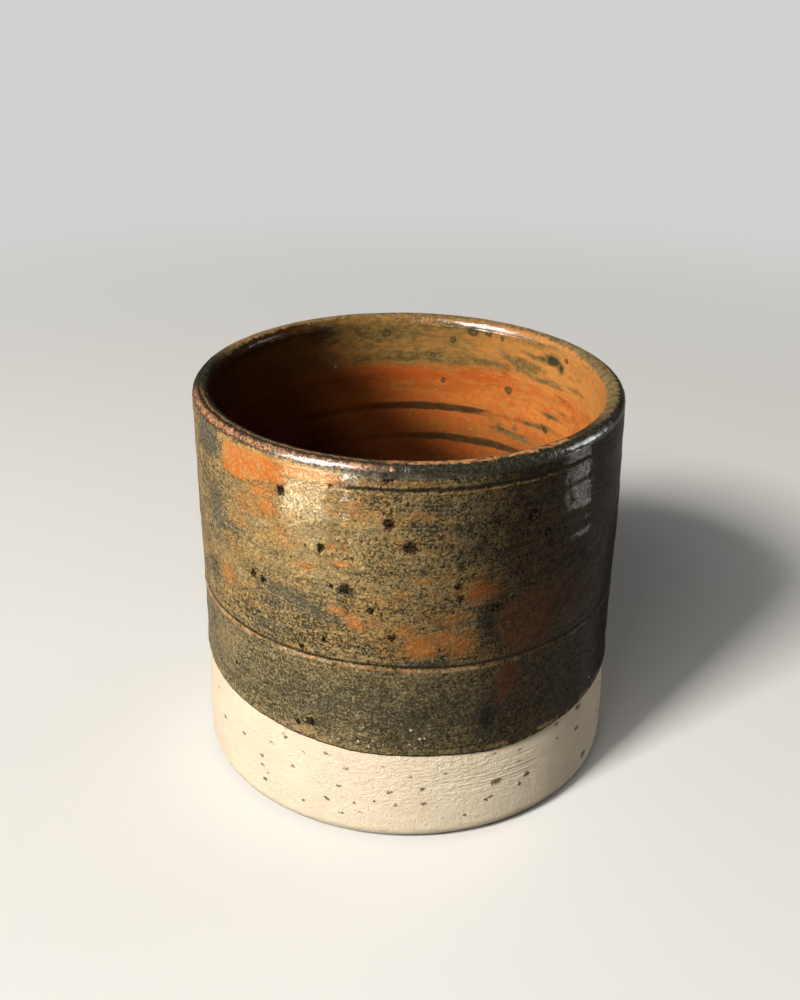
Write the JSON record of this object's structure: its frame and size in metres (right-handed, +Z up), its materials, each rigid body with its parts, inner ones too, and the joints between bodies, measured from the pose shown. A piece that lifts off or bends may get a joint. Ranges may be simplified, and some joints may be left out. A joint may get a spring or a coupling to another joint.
{
  "type": "yunomi tea cup",
  "caption": "Straight, handleless stoneware tea cup with a speckled brown glaze inside and out, a rounded lip, a slanting dip line and a bare clay foot.",
  "frame": {"origin": "on the surface that the cup stands on, at the centre of its base", "axes": "+Z up through the mouth; -Y towards the side of the cup where the dip line hangs lowest, which is the front"},
  "size_m": [0.0848, 0.0848, 0.08],
  "materials": {
    "stoneware": "unglazed cream stoneware with fine turning lines and dark iron specks",
    "outer_glaze": "semi-gloss ochre glaze, densely speckled olive black, with orange patches and iron spots",
    "lip_glaze": "gloss copper-brown glaze that breaks paler along the lip",
    "liner_glaze": "semi-gloss red-orange to olive brown glaze with darker throwing rings"
  },
  "bodies": {
    "root": {"stoneware_body": "stoneware", "outer_glaze": "outer_glaze", "lip_glaze": "lip_glaze", "liner_glaze": "liner_glaze"}
  },
  "joints": []
}
